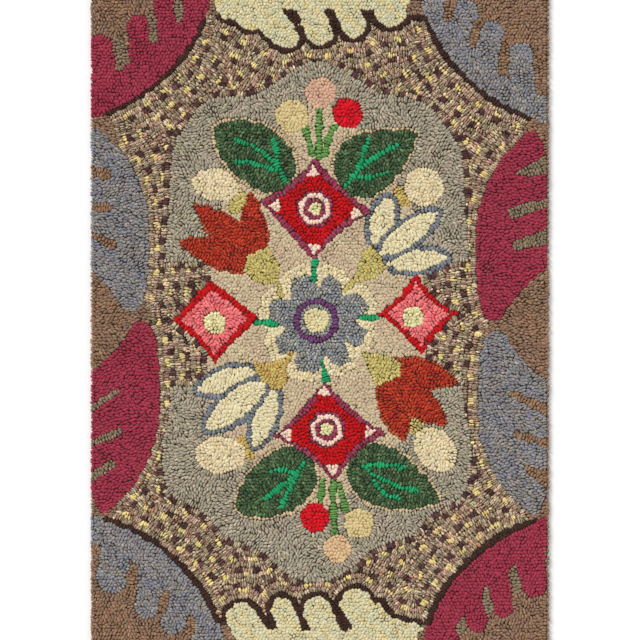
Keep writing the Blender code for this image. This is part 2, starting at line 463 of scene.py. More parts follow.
# A leaf is given as leaf() takes it, and each of its veins is a line.
Leaf = namedtuple("Leaf", "base tip left right base_power tip_power veins")
LEAVES = [
    Leaf((-42, 178), (-139, 256), 32, 45, 0.45, 0.60,
         [[(-47, 186), (-56, 204), (-69, 217), (-91, 232), (-112, 239)],
          [(-57, 205), (-57, 223), (-63, 240)],
          [(-58, 200), (-76, 204), (-98, 211), (-112, 210)]]),
    Leaf((30, 176), (130, 249), 46, 34, 0.45, 0.90,
         [[(35, 179), (47, 196), (67, 212), (84, 223), (102, 233)],
          [(50, 200), (57, 219), (65, 240)],
          [(48, 190), (64, 189), (89, 197)]]),
    Leaf((-15, -180), (-110, -253), 46, 33, 0.42, 0.64,
         [[(-21, -188), (-31, -206), (-48, -219), (-72, -237)],
          [(-36, -204), (-50, -199), (-65, -202)],
          [(-33, -210), (-42, -228), (-50, -246)]]),
    Leaf((43, -176), (161, -242), 30, 48, 0.50, 0.90,
         [[(57, -193), (72, -207), (90, -215), (107, -223), (130, -226)],
          [(66, -193), (86, -193), (111, -196)],
          [(72, -215), (84, -230), (104, -237)]]),
]
LEAF_RIM = 4.6
VEIN = 7.0

# patches are the places of the pale patches in a red diamond's tips.
Diamond = namedtuple("Diamond", "name tips hollows eye patches", defaults=[()])
DIAMONDS = [
    Diamond("scarlet", [(-7, 215), (-81, 158), (-7, 77), (69, 144)], [7, 1, 8, 4], (-7, 148),
            [(-8, 198), (-61, 153), (-8, 94), (49, 142)]),
    Diamond("scarlet", [(6, -79), (-62, -155), (20, -220), (88, -151)], [4, 8, 10, 6], (9, -146),
            [(5, -94), (-45, -153), (17, -200), (67, -149)]),
    Diamond("pink", [(-146, 52), (-197, -1), (-140, -59), (-83, 2)], [0, 5, 2, -2], (-140, -4)),
    Diamond("pink", [(128, 63), (76, 9), (136, -47), (186, 9)], [5, 3, 5, 8], (124, 4)),
]
DIAMOND_RIM = 8.0
# A patch's size, how far back it starts, and how far in and how big its fuller middle is.
PATCH, PATCH_BACK, PATCH_IN, PATCH_MIDDLE = 9.8, 0.7, 2, 0.55
# Each kind's rim, and the rings of its eye from the outside in.
RIMS = {"scarlet": "plum", "pink": "pink_rim"}
EYES = {"scarlet": [("plum", 25), ("shell", 21.5), ("plum", 14.5), ("lime", 9.3)],
        "pink": [("pink_dot", 15)]}

# The middle flower: its middle, and how far its notches and lobes reach.
FLOWER = (-2, -4, 44, 65)
FLOWER_HALO = (-3, -3, 69, 78)
FLOWER_MIDDLE = (-5, -1)
FLOWER_EYE = [("purple", 30), ("slate", 22), ("butter", 17)]
Stem = namedtuple("Stem", "line width end_width")
SHORT_STEMS = [
    Stem([(-6, 78), (-9, 55)], 8, 8), Stem([(8, -79), (2, -54)], 9, 4),
    Stem([(-83, -3), (-60, -5)], 9, 8), Stem([(77, 3), (54, 3)], 9, 6),
]
LONG_STEMS = [
    [(-20, 255), (-15, 239), (-11, 222)], [(-1, 282), (-1, 250), (-2, 215)],
    [(20, 258), (11, 240), (7, 219)], [(4, -214), (0, -244)],
    [(17, -217), (18, -250), (20, -287)], [(26, -219), (30, -236), (34, -253)],
]
LONG_STEM = 8.8
Ball = namedtuple("Ball", "x y radius name")
BALLS = [
    Ball(-37, 271, 22.5, "ball_yellow"), Ball(1, 302, 21, "ball_pink"), Ball(37, 275, 20, "ball_red"),
    Ball(-7, -263, 19.5, "ball_red"), Ball(52, -271, 20, "ball_yellow"), Ball(23, -305, 19, "ball_peach"),
]

# A bud's shape is given as oval() takes it.
Bud = namedtuple("Bud", "shape wool cup")
BUDS = [
    Bud((-139, 180, 32, 22, -8), "calyx", [(-118, 165), (-103, 174), (-97, 160), (-110, 142), (-121, 146)]),
    Bud((139, 177, 27, 26, 0), "ochre", [(98, 173), (109, 178), (119, 162), (116, 150), (103, 158)]),
    Bud((-132, -180, 34, 25, 0), "ochre", [(-110, -158), (-99, -155), (-87, -178), (-96, -187)]),
    Bud((154, -173, 33, 26, -48), "calyx",
        [(116, -138), (124, -128), (142, -134), (132, -147), (122, -153)]),
]

# A tulip's cup has a wool of its own and a tail towards the middle flower.
Petal = namedtuple("Petal", "base tip half")
Tulip = namedtuple("Tulip", "petals wool tail cup")
RUST_TULIPS = [
    Tulip([Petal((-74, 72), (-187, 104), 22), Petal((-76, 76), (-168, 154), 22),
           Petal((-84, 64), (-92, 170), 20)], "calyx", [(-57, 54), (-52, 32)],
          [(-102, 66), (-97, 84), (-68, 98), (-54, 74), (-53, 47), (-84, 49)]),
    Tulip([Petal((84, -62), (184, -82), 22), Petal((84, -72), (169, -140), 23),
           Petal((86, -70), (112, -162), 22)], "calyx", [(70, -52), (60, -46)],
          [(57, -43), (84, -46), (110, -56), (106, -74), (74, -90), (63, -64)]),
]
# A white petal is given by its inside, and its line lies round that.
WHITE_TULIPS = [
    Tulip([Petal((73, 100), (93, 164), 16), Petal((88, 75), (170, 83), 14),
           Petal((78, 86), (158, 144), 15)], "calyx", [(52, 58), (32, 39)],
          [(57, 90), (68, 101), (81, 86), (90, 69), (73, 54), (49, 50), (42, 50), (48, 63)]),
    Tulip([Petal((-86, -68), (-163, -94), 15), Petal((-60, -92), (-87, -169), 15),
           Petal((-72, -82), (-152, -146), 18)], "ochre", [(-48, -60), (-38, -45)],
          [(-88, -57), (-62, -56), (-44, -52), (-44, -69), (-43, -82), (-52, -96), (-74, -85), (-85, -70)]),
]
PETAL_LINE = 6.4
RUST_EDGE = 3.8
TAIL = 6.2
# How blunt or sharp a petal's base and tip are, as leaf() takes them.
RUST_ENDS = (0.7, 0.86)
PETAL_ENDS = (0.7, 0.74)
LINE_ENDS = (0.6, 0.62)


def draw_leaf(row):
    *shape, veins = row
    fill(leaf(*shape, grow=LEAF_RIM), "beige_line")
    fill(leaf(*shape), "leaf")
    for vein in veins:
        stroke(smooth(vein, closed=False), VEIN, "vein")


def draw_diamond(row):
    fill(diamond(row.tips, row.hollows), RIMS[row.name])
    fill(diamond(row.tips, row.hollows, DIAMOND_RIM), row.name)
    middle = np.mean(row.tips, axis=0)
    for patch in np.array(row.patches, dtype=float):
        draw_patch(patch, (patch - middle) / np.hypot(*(patch - middle)))
    draw_rings(*row.eye, EYES[row.name])


def draw_patch(patch, out):
    """A pale patch in a diamond's tip: a triangle that points out, with a fuller middle."""
    across = np.array([-out[1], out[0]])
    point = patch + out * PATCH
    back = patch - out * PATCH * PATCH_BACK
    fill([point, back + across * PATCH, back - across * PATCH], "shell")
    disc(*(patch - out * PATCH_IN), PATCH * PATCH_MIDDLE, "shell")


def draw_flower():
    fill(rosette(*FLOWER_HALO), "halo")
    fill(rosette(*FLOWER), "slate")
    draw_rings(*FLOWER_MIDDLE, FLOWER_EYE)
    for stem in SHORT_STEMS:
        stroke(stem.line, stem.width, "vein", stem.end_width)


def petal_outline(petal, ends, grow=0.0):
    return leaf(petal.base, petal.tip, petal.half, petal.half, *ends, grow)


def draw_rust_tulip(row):
    """Petals that run together, with one orange row round them all."""
    for name, grow in (("rust_edge", 0.0), ("rust", -RUST_EDGE)):
        for petal in row.petals:
            fill(petal_outline(petal, RUST_ENDS, grow), name)


def draw_white_tulip(row):
    """Petals that overlap, each with its own line round it."""
    for petal in row.petals:
        fill(petal_outline(petal, LINE_ENDS, PETAL_LINE), "petal_line")
        fill(petal_outline(petal, PETAL_ENDS), "petal")


def draw_cup(row):
    stroke(row.tail, TAIL, row.wool)
    fill(row.cup, row.wool)


def draw_bud(row):
    fill(smooth(row.cup), row.wool)
    fill(oval(*row.shape), "bud")


def draw_balls():
    for line in LONG_STEMS:
        stroke(smooth(line, closed=False), LONG_STEM, "stem")
    for ball in BALLS:
        disc(*ball)


# Plain brown rows close the rug's ends and its right side.
END_ROWS = 9.0
SIDE_ROW = 3.0


def draw_border():
    for side in (-1, 1):
        fill(smooth(placed(SIDE_GROUND, side, 1)), "brown")
    for scroll in CREAM_SCROLLS:
        draw_cream_scroll(scroll)
        for side in (-1, 1):
            fill(placed(END_GROUND, side, scroll.end), "corner_brown", only=["dark", "tweed"])
            stroke(placed(END_LINE, side, scroll.end), CREAM_LINE, "dark", only=["tweed"])
    for scroll in CORNER_SCROLLS:
        draw_corner_scroll(scroll)
    for scroll in SIDE_SCROLLS:
        draw_side_scroll(scroll)


def draw_medallion():
    for half in (MEDALLION_TOP, MEDALLION_BOTTOM):
        fill(both_halves(half), "grey")
    fill(BAY, "tweed", only=["grey"])
    fill(both_halves(MIDDLE), "beige")
    for draw, rows in ((draw_bud, BUDS), (draw_leaf, LEAVES), (draw_rust_tulip, RUST_TULIPS),
                       (draw_white_tulip, WHITE_TULIPS), (draw_diamond, DIAMONDS)):
        for row in rows:
            draw(row)
    draw_flower()
    for row in RUST_TULIPS + WHITE_TULIPS:
        draw_cup(row)
    draw_balls()


def draw_face():
    draw_border()
    draw_medallion()
    face[:, GX > WIDTH / 2 - SIDE_ROW] = CODE["brown"]
    face[np.abs(GY) > LENGTH / 2 - END_ROWS, :] = CODE["brown"]


# How the loops lie


def blur(field, reach):
    """A box blur with its edges held, done twice each way so that it is rounder."""
    span = 2 * reach + 1
    for _ in range(4):
        padded = np.pad(field, ((reach + 1, reach), (0, 0)), mode="edge")
        total = np.cumsum(padded, axis=0, dtype=np.float64)
        field = ((total[span:] - total[:-span]) / span).astype(np.float32).T
    return field


def depth_in(codes, reach):
    """Each cell's distance from its own area's edge, up to reach."""
    far = np.float32(reach)
    side = np.full(codes.shape, far, dtype=np.float32)
    for step in range(1, reach):
        differs = codes[:, step:] != codes[:, :-step]
        other = np.zeros(codes.shape, dtype=bool)
        other[:, step:] |= differs
        other[:, :-step] |= differs
        side = np.where(other & (side == far), np.float32(step - 0.5), side)
    best = side**2
    for step in range(1, reach):
        ahead, behind = slice(step, None), slice(None, -step)
        for here, there in ((ahead, behind), (behind, ahead)):
            same = codes[here] == codes[there]
            reached = np.where(same, side[there] ** 2 + step**2, (step - 0.5) ** 2)
            best[here] = np.minimum(best[here], reached)
    return np.sqrt(best)


BORDER = ("ground_brown", "scrolls_red", "scrolls_blue", "scrolls_cream", "scroll_outlines")
# How far in an area's own edge and the border lead its rows.
EDGE_LEADS, BORDER_LEADS = 26, 110
EDGE_BLUR, BORDER_BLUR = 4, 5
# Rows wander by about this many radians, level ones by a share of that, and all by a finer wander.
WANDER, LEVEL_WANDER, FINE_WANDER = 0.7, 0.4, 0.3
# They keep to their edge for this many millimetres, and wander freely after this many more.
STRAIGHT, FREE = 4, 6


def directions(depth, reach):
    """The way straight away from an edge, evened out, as an angle."""
    gy, gx = np.gradient(blur(depth, 1))
    a, b = blur(gx * gx - gy * gy, reach), blur(2 * gx * gy, reach)
    return np.arctan2(b, a) / 2


def lean_field():
    """The way that loops lie at each cell, the distance from the border, and the ground's rim.

    A loop's long way is across the row, and rows follow the edges of their area. The rim is the row of
    the tweed ground that runs along the medallion.
    """
    own = depth_in(face, EDGE_LEADS)
    border = np.array([a.piece in BORDER for a in AREAS])[face]
    broad = depth_in(border.astype(np.int16), BORDER_LEADS)
    sway = np.sin(X / 15 + 1.4 * np.sin(Y / 21)) + np.sin(Y / 13 + 1.6 * np.sin(X / 19) + 2)
    fine = FINE_WANDER * np.sin(X / 4.3 + 2.2 * np.sin(Y / 6.1)) * np.cos(Y / 3.7 + X / 9.7)
    away = np.clip((own - STRAIGHT) / FREE, 0, 1)
    edge = directions(own, EDGE_BLUR) + (WANDER * sway + fine) * away
    outer = directions(broad, BORDER_BLUR)
    level = WANDER * LEVEL_WANDER * sway + fine
    by_lie = np.array([["edge", "outer", "level"].index(a.lie) for a in AREAS])[face]
    rim = (face == CODE["tweed"]) & (own < ROW) & (broad > 2 * ROW)
    by_lie[rim] = 0
    return np.choose(by_lie, [edge, outer, level]).astype(np.float32), broad, rim


ACROSS = np.array([a.across for a in AREAS], dtype=np.float32)
ALONG = np.array([a.along for a in AREAS], dtype=np.float32)
# How far a loop's cells may lie from it, in millimetres and in its own squared shape.
SPAN, MOST_GAP = 7, 1.3


def at(field, x, y):
    """A field's values at places given in cells."""
    return field[y.astype(int).clip(0, NY - 1), x.astype(int).clip(0, NX - 1)]


def first_loops(rng):
    """Places of loops set out on an offset grid for each colour area, at that area's own size."""
    jitter = 0.8
    found = []
    for code, area in enumerate(AREAS):
        pitch = math.sqrt(area.across * area.along)
        rows, columns = int(LENGTH / pitch), int(WIDTH / pitch)
        j, i = np.mgrid[0:rows, 0:columns]
        x = (i + 0.5 * (j % 2)) * WIDTH / columns + rng.normal(0, jitter, i.shape)
        y = (j + 0.5) * LENGTH / rows + rng.normal(0, jitter, i.shape)
        keep = at(face, x, y) == code
        found.append([x[keep], y[keep]])
    return np.concatenate(found, axis=1)


def share_out(x, y, region, lean, fine=1):
    """Which loop each cell belongs to: the nearest of its own region, by the loop's own shape.

    fine splits each cell into fine by fine smaller ones.
    """
    code = at(face, x, y)
    own = at(region, x, y)[:, None]
    turn = at(lean, x, y)[:, None]
    c, s = np.cos(turn), np.sin(turn)
    steps = np.arange(-SPAN * fine, SPAN * fine + 1)
    ox, oy = (o.ravel() for o in np.meshgrid(steps, steps))
    px, py = (x * fine).astype(int)[:, None] + ox, (y * fine).astype(int)[:, None] + oy
    dx = ((px + 0.5) / fine - x[:, None]).astype(np.float32)
    dy = ((py + 0.5) / fine - y[:, None]).astype(np.float32)
    gap = ((dx * c + dy * s) / ACROSS[code][:, None]) ** 2
    gap += ((dy * c - dx * s) / ALONG[code][:, None]) ** 2
    ok = (gap < MOST_GAP) & (px >= 0) & (py >= 0) & (px < NX * fine) & (py < NY * fine)
    loop = np.broadcast_to(np.arange(len(x))[:, None], ok.shape)[ok]
    px, py, gap = px[ok], py[ok], gap[ok]
    same = region[py // fine, px // fine] == own[loop, 0]
    loop, px, py, gap = loop[same], px[same], py[same], gap[same]
    order = np.argsort(-gap, kind="stable")
    owner = np.full(NX * NY * fine * fine, -1, dtype=np.int64)
    owner[(py * NX * fine + px)[order]] = loop[order]
    return owner


ROUNDS = 7
# A loop splits or goes when it has this many times its due share of cells.
SPLIT_OVER, DROP_UNDER = 1.55, 0.42
# What share of its size each half of a split loop moves, and one in how many bare cells gets a loop.
HOP, FRESH = 0.4, 20


def settle(rng, region, lean):
    """Evens the loops out: each moves to the middle of its cells, big ones split, small ones go."""
    places = first_loops(rng)
    number = np.arange(NX * NY)
    cells = np.stack([number % NX + 0.5, number // NX + 0.5])
    for turn in range(ROUNDS):
        owner = share_out(*places, region, lean)
        has = owner >= 0
        count = np.bincount(owner[has], minlength=places.shape[1])
        keep = count > 0
        sums = [np.bincount(owner[has], cell[has], len(count)) for cell in cells]
        places = np.where(keep, sums / np.maximum(count, 1), places)
        if turn >= ROUNDS - 2:
            places = places[:, keep]
            continue
        code = at(face, *places)
        due = ACROSS[code] * ALONG[code]
        big = count > SPLIT_OVER * due
        keep = count > DROP_UNDER * due
        turned = at(lean, *places)
        hop = HOP * ALONG[code] * np.stack([-np.sin(turned), np.cos(turned)])
        bare = np.flatnonzero(~has)
        fresh = rng.choice(bare, size=len(bare) // FRESH, replace=False)
        twins = (places + hop)[:, big]
        places = np.where(big, places - hop, places)
        places = np.concatenate([places[:, keep], twins, cells[:, fresh]], axis=1)
    return places


SIDES = 6
FINE = 2
TURN = (np.arange(SIDES) + 0.5) * 2 * math.pi / SIDES
# How finely and how far a corner is sought, and the least and most that it may be away.
SEEK_STEP, SEEK_END = 0.25, 6.5
LEAST_REACH, MOST_REACH = 0.9, 6.0


def loop_outlines(x, y, region, lean):
    """The way to each loop's corners, how far each corner is, and the owner of each cell."""
    owner = share_out(x, y, region, lean, FINE).reshape(NY * FINE, NX * FINE)
    code = at(face, x, y)
    turn = np.arctan2(np.sin(TURN) * ALONG[code][:, None], np.cos(TURN) * ACROSS[code][:, None])
    turn = turn + at(lean, x, y)[:, None]
    reach = np.zeros(turn.shape)
    going = np.ones(turn.shape, dtype=bool)
    high, wide = owner.shape
    for far in np.arange(SEEK_STEP, SEEK_END, SEEK_STEP):
        px = np.floor((x[:, None] + far * np.cos(turn)) * FINE).astype(int)
        py = np.floor((y[:, None] + far * np.sin(turn)) * FINE).astype(int)
        found = owner[py.clip(0, high - 1), px.clip(0, wide - 1)]
        going &= (found == np.arange(len(x))[:, None]) & (px >= 0) & (px < wide) & (py >= 0) & (py < high)
        reach += going * SEEK_STEP
    return turn, np.clip(reach + SEEK_STEP / 2, LEAST_REACH, MOST_REACH), owner[::FINE, ::FINE]


# The wool's colours

# How far two slow waves mix the second and third shade in, and the size of the second wave.
SECOND_SHADE, THIRD_SHADE = 0.8, 0.6
THIRD_SIZE, THIRD_PHASE = 0.7, 3.7
HUE_STRAY = 0.25
BRIGHTEST = 0.95


def to_linear(colour):
    """A colour up to 255, as the renderer takes it."""
    c = np.asarray(colour, dtype=float) / 255
    return np.where(c <= 0.04045, c / 12.92, ((c + 0.055) / 1.055) ** 2.4)


def patches(x, y, size, phase):
    """A slow wave over the face, from 0 to 1, that differs for each phase."""
    a = np.sin(x / size * 2.1 + phase) * np.cos(y / size * 1.7 - 1.3 * phase)
    b = np.sin((x * 0.6 + y * 0.8) / size * 3.3 + 2.1 * phase)
    return np.clip(0.5 + 0.3 * a + 0.3 * b, 0, 1)


# What each row of the ground holds, in turn: its plain wool, and the wool of its dashes.
TWEED_ROWS = [("tweed", None), ("tweed_rose", "tweed_yellow"), ("tweed", "tweed_plum"),
              ("tweed", None), ("tweed", "tweed_yellow"), ("tweed_rose", "tweed_plum")]
# The rim's number is past all the others, and gives it the plain wool and dashes of row 2.
RIM_ROW = 10 * len(TWEED_ROWS) + 2
# How far apart a row's dashes are, give or take a share, and how far one reaches from its middle.
Dash = namedtuple("Dash", "step half")
DASHES = {"tweed_yellow": Dash(27, 4.6), "tweed_plum": Dash(22, 5.6)}
APART = (0.9, 1.2)
# How many of the plain tweed's loops are rust.
RUST_SHARE = 0.02


def tweed_dashes(rng, x, y, code, row):
    """The wool of each loop. The tweed's is in short dashes of yellow and plum along its rows."""
    wools = np.array([AREAS[c].wool or AREAS[c].name for c in code], dtype=object)
    tweed = code == CODE["tweed"]
    for number in range(row.max() + 1):
        plain, wool = TWEED_ROWS[number % len(TWEED_ROWS)]
        mine = np.flatnonzero(tweed & (row == number))
        wools[mine] = plain
        if wool is None:
            continue
        chosen = []
        way_round = np.arctan2(y[mine] - NY / 2, x[mine] - NX / 2)
        for loop in mine[np.argsort(way_round)]:
            apart = DASHES[wool].step * rng.uniform(*APART)
            if all(math.hypot(x[o] - x[loop], y[o] - y[loop]) > apart for o in chosen):
                chosen.append(loop)
                close = np.hypot(x[mine] - x[loop], y[mine] - y[loop]) < DASHES[wool].half
                wools[mine[close]] = wool
    plain = tweed & (wools == "tweed")
    wools[plain & (rng.random(len(x)) < RUST_SHARE)] = "tweed_rust"
    return wools


def loop_colours(rng, x, y, wools):
    """Each loop's colour, with its wool's fleck as alpha."""
    colours = np.zeros((len(x), 4))
    for number, (name, wool) in enumerate(WOOLS.items()):
        mine = wools == name
        count = int(mine.sum())
        if not count:
            continue
        shades = to_linear(wool.shades)
        second = patches(x[mine], y[mine], wool.patch, number)[:, None]
        third = patches(x[mine], y[mine], wool.patch * THIRD_SIZE, number + THIRD_PHASE)[:, None]
        mix = shades[0] * (1 - second * SECOND_SHADE) + shades[1] * second * SECOND_SHADE
        mix = mix * (1 - third * THIRD_SHADE) + shades[2] * third * THIRD_SHADE
        picked = shades[rng.integers(0, len(shades), count)]
        mix = mix * (1 - wool.fleck) + picked * wool.fleck
        light = np.exp(rng.normal(0, wool.stray, (count, 1)))
        hue = np.exp(rng.normal(0, wool.stray * HUE_STRAY, (count, 3)))
        colours[mine, :3] = np.clip(mix * light * hue, 0, BRIGHTEST)
        colours[mine, 3] = wool.fleck
    return colours


# Meshes

# A loop's rings, from the foundation up: the shares of its outline's length and width that it has, the
# share of its height that it stands at, and how wide it is in the loop's square on the bake chart.
Ring = namedtuple("Ring", "long short height chart")
RINGS = [Ring(0.94, 0.88, -0.08, 0.46), Ring(1.08, 1.12, 0.58, 0.34), Ring(0.93, 0.70, 0.89, 0.20)]
# Two points make a ridge along its top: how far apart they are in the last ring, and on the chart.
RIDGE, RIDGE_CHART = 0.55, 0.09
RIDGE_RIGHT, RIDGE_LEFT = SIDES * len(RINGS), SIDES * len(RINGS) + 1
# A loop's height in millimetres, and how much it, its outline, turn, tilt and ridge stray by chance.
LOWEST, HIGHEST = 4.8, 7.2
HEIGHT_STRAY, OUTLINE_STRAY, TURN_STRAY, TILT_STRAY, RIDGE_STRAY = 0.36, 0.05, 0.10, 0.45, 0.15
# Half of the most that the pile sinks, in a slow wave over the face.
SINK = 0.3
# How full loops are, how much of that a crack takes, and how wide cracks are.
SWELL, CRACK, CRACK_WIDTH = 1.04, 0.24, 0.26
# How far loops may lean out over the rug's long sides, in millimetres.
OVERHANG = 1


def cracks(x, y):
    """Winding lines over the face, from 0 to 1, along which loops part and a gap opens."""
    f = np.sin(x / 4.3 + 1.9 * np.sin(y / 6.7)) + np.sin(y / 3.9 + 1.7 * np.sin(x / 7.3))
    return np.exp(-((f / CRACK_WIDTH) ** 2))


def loop_meshes(rng, x, y, turn, reach, full):
    """Points of every loop, as an array of loops by points by three, in metres."""
    n = len(x)
    base = FOUNDATION / MM
    mid_x, mid_y = x + LOW[0] / MM, y + LOW[1] / MM
    broad = np.sin(0.021 * mid_x + 0.007 * mid_y) * np.cos(0.017 * mid_y - 0.005 * mid_x + 0.6)
    height = TOP / MM - base - SINK * (1 + broad) + rng.normal(0, HEIGHT_STRAY, n)
    height = np.clip(height, LOWEST, HIGHEST)
    reach = reach * np.exp(rng.normal(0, OUTLINE_STRAY, (n, 1)))
    angle = turn + rng.normal(0, TURN_STRAY, (n, 1))
    corner_x, corner_y = x[:, None] + reach * np.cos(angle), y[:, None] + reach * np.sin(angle)
    reach = reach * (SWELL - CRACK * cracks(corner_x, corner_y))
    ridge = np.cos(TURN) ** 2
    points = np.zeros((n, RIDGE_LEFT + 1, 3))
    tilt = rng.normal(0, TILT_STRAY, (n, 2))
    for k, ring in enumerate(RINGS):
        share = ring.short * full[:, None]
        share = share + (max(ring.long, ring.short) - share) * ridge
        spread = reach * share * (1 + rng.normal(0, OUTLINE_STRAY, reach.shape))
        drift = tilt * max(ring.height, 0)
        part = slice(k * SIDES, (k + 1) * SIDES)
        points[:, part, 0] = mid_x[:, None] + spread * np.cos(angle) + drift[:, :1]
        points[:, part, 1] = mid_y[:, None] + spread * np.sin(angle) + drift[:, 1:]
        points[:, part, 2] = base + height[:, None] * ring.height
    last = points[:, RIDGE_RIGHT - SIDES:RIDGE_RIGHT]
    middle = last.mean(axis=1)
    half = SIDES // 2
    for corner, ends in ((RIDGE_RIGHT, (0, SIDES - 1)), (RIDGE_LEFT, (half - 1, half))):
        end = last[:, list(ends)].mean(axis=1)
        points[:, corner] = middle + (end - middle) * RIDGE
        points[:, corner, 2] = base + height + rng.normal(0, RIDGE_STRAY, n)
    points[:, :, 0] = np.clip(points[:, :, 0], -WIDTH / 2 - OVERHANG, WIDTH / 2 + OVERHANG)
    return points * MM


def loop_faces():
    """One loop's faces: bands of quads between its rings, and a top about its ridge."""
    faces = []
    last = (len(RINGS) - 1) * SIDES
    sides = [(i, (i + 1) % SIDES) for i in range(SIDES)]
    for low in range(0, last, SIDES):
        faces += [(low + i, low + j, low + SIDES + j, low + SIDES + i) for i, j in sides]
    for i, j in sides:
        near = RIDGE_RIGHT if math.cos(TURN[i] + math.pi / SIDES) > 0 else RIDGE_LEFT
        faces.append((last + i, last + j, near))
    faces.append((last + 1, RIDGE_LEFT, RIDGE_RIGHT))
    faces.append((last + 1 + SIDES // 2, RIDGE_RIGHT, RIDGE_LEFT))
    return faces


def loop_charts(count):
    """Where each loop's points lie on the bake chart: its rings as rings in its own square."""
    across = math.ceil(math.sqrt(count))
    way = np.stack([np.cos(TURN), np.sin(TURN)], axis=1)
    one = np.vstack([ring.chart * way for ring in RINGS] + [[(RIDGE_CHART, 0), (-RIDGE_CHART, 0)]])
    number = np.arange(count)
    middle = np.stack([number % across + 0.5, number // across + 0.5], axis=1)
    return (middle[:, None, :] + one[None, :, :]) / across


def paint_points(mesh, rgba):
    """Keeps a colour on each point of a mesh, for its material."""
    wool = mesh.attributes.new("wool", "FLOAT_COLOR", "POINT")
    wool.data.foreach_set("color", rgba.astype(np.float32).ravel())


def add_object(name, data):
    obj = bpy.data.objects.new(name, data)
    bpy.context.scene.collection.objects.link(obj)
    return obj


def join_loops(name, points, colours):
    """One mesh of many loops, with each loop's colour on its points and its own bake square."""
    count, per = points.shape[:2]
    faces = loop_faces()
    corners = np.array([c for f in faces for c in f])
    starts = np.concatenate([[0], np.cumsum([len(f) for f in faces])[:-1]])
    number = np.arange(count)[:, None]
    all_corners = (corners[None, :] + number * per).ravel()
    all_starts = (starts[None, :] + number * len(corners)).ravel()
    mesh = bpy.data.meshes.new(name)
    mesh.vertices.add(count * per)
    mesh.vertices.foreach_set("co", points.reshape(-1).astype(np.float32))
    mesh.loops.add(len(all_corners))
    mesh.loops.foreach_set("vertex_index", all_corners.astype(np.int32))
    mesh.polygons.add(len(all_starts))
    mesh.polygons.foreach_set("loop_start", all_starts.astype(np.int32))
    mesh.update(calc_edges=True)
    mesh.shade_smooth()
    paint_points(mesh, np.broadcast_to(colours[:, None, :], (count, per, 4)))
    chart = mesh.uv_layers.new(name="OFBake")
    uv = loop_charts(count).reshape(-1, 2)[all_corners]
    chart.data.foreach_set("uv", uv.ravel().astype(np.float32))
    mesh.materials.append(wool_material(name))
    return add_object(name, mesh)


# Materials


def new_material(name):
    """A material with nodes, its node tree, and its shader."""
    material = bpy.data.materials.new(name)
    material.use_nodes = True
    return material, material.node_tree, material.node_tree.nodes["Principled BSDF"]


def add_node(tree, kind, inputs, **settings):
    """Adds a node whose inputs are values or other nodes' outputs, and gives its own outputs."""
    node = tree.nodes.new("ShaderNode" + kind)
    for setting, value in settings.items():
        setattr(node, setting, value)
    for socket, value in inputs.items():
        if isinstance(value, bpy.types.NodeSocket):
            tree.links.new(value, node.inputs[socket])
        else:
            node.inputs[socket].default_value = value
    return node.outputs


def set_look(tree, shader, own, shade, height, strength, distance):
    """A shader's colour, which is each point's own in some shade, and its bump."""
    tint = add_node(tree, "VectorMath", {0: own["Color"], "Scale": shade}, operation="SCALE")
    bump = add_node(tree, "Bump", {"Height": height, "Strength": strength, "Distance": distance})
    tree.links.new(tint["Vector"], shader.inputs["Base Color"])
    tree.links.new(bump["Normal"], shader.inputs["Normal"])


def wool_material(name):
    """Wool: the loop's own colour, heathered by fine fibres, with a fibrous bump and soft sheen.

    The colour's alpha says how flecked the wool is.
    """
    material, tree, shader = new_material(name)
    place = add_node(tree, "TexCoord", {})["Object"]
    own = add_node(tree, "Attribute", {}, attribute_name="wool")
    fibres = add_node(tree, "TexNoise", {"Vector": place, "Scale": 1100, "Detail": 3})["Fac"]
    heather = add_node(tree, "TexNoise", {"Vector": place, "Scale": 520, "Detail": 2})["Fac"]
    stray = add_node(tree, "MapRange", {"Value": heather, "To Min": -2.6, "To Max": 2.6}, clamp=False)
    shade = add_node(tree, "Math", {0: stray["Result"], 1: own["Alpha"], 2: 1}, operation="MULTIPLY_ADD")
    lit = add_node(tree, "Math", {0: shade["Value"], 1: 0.25}, operation="MAXIMUM")["Value"]
    rough = add_node(tree, "MapRange", {"Value": fibres, "To Min": 0.8, "To Max": 0.98})
    tree.links.new(rough["Result"], shader.inputs["Roughness"])
    set_look(tree, shader, own, lit, fibres, 0.6, 0.0007)
    shader.inputs["Specular IOR Level"].default_value = 0.2
    shader.inputs["Sheen Weight"].default_value = 0.06
    shader.inputs["Sheen Roughness"].default_value = 0.45
    return material


def burlap_material():
    """Plain-woven jute, seen at the rug's edge and on its back."""
    material, tree, shader = new_material("burlap")
    place = add_node(tree, "TexCoord", {})["Object"]
    threads = {"Vector": place, "Scale": 160, "Distortion": 0.6, "Detail": 2}
    warp = add_node(tree, "TexWave", threads, bands_direction="X")
    weft = add_node(tree, "TexWave", threads, bands_direction="Y")
    weave = add_node(tree, "Math", {0: warp["Fac"], 1: weft["Fac"]}, operation="MAXIMUM")["Value"]
    own = add_node(tree, "Attribute", {}, attribute_name="wool")
    shade = add_node(tree, "MapRange", {"Value": weave, "To Min": 0.55, "To Max": 1.1})["Result"]
    set_look(tree, shader, own, shade, weave, 0.8, 0.0008)
    shader.inputs["Roughness"].default_value = 0.9
    return material


# Pieces

# In metres: the hem's width, how far it lifts the rest, and how far the burlap stays inside the rug.
HEM = 0.030
HEM_RISE = 0.0006
INSET = 0.0018
BURLAP = (0.47, 0.36, 0.22)
# How much of a stitch's colour is its wool's, and how dark the painted shade on the burlap's front is.
STITCH_WOOL, FRONT_PAINTED_SHADE = 0.75, 0.5
COLUMNS, ROWS = 80, 120


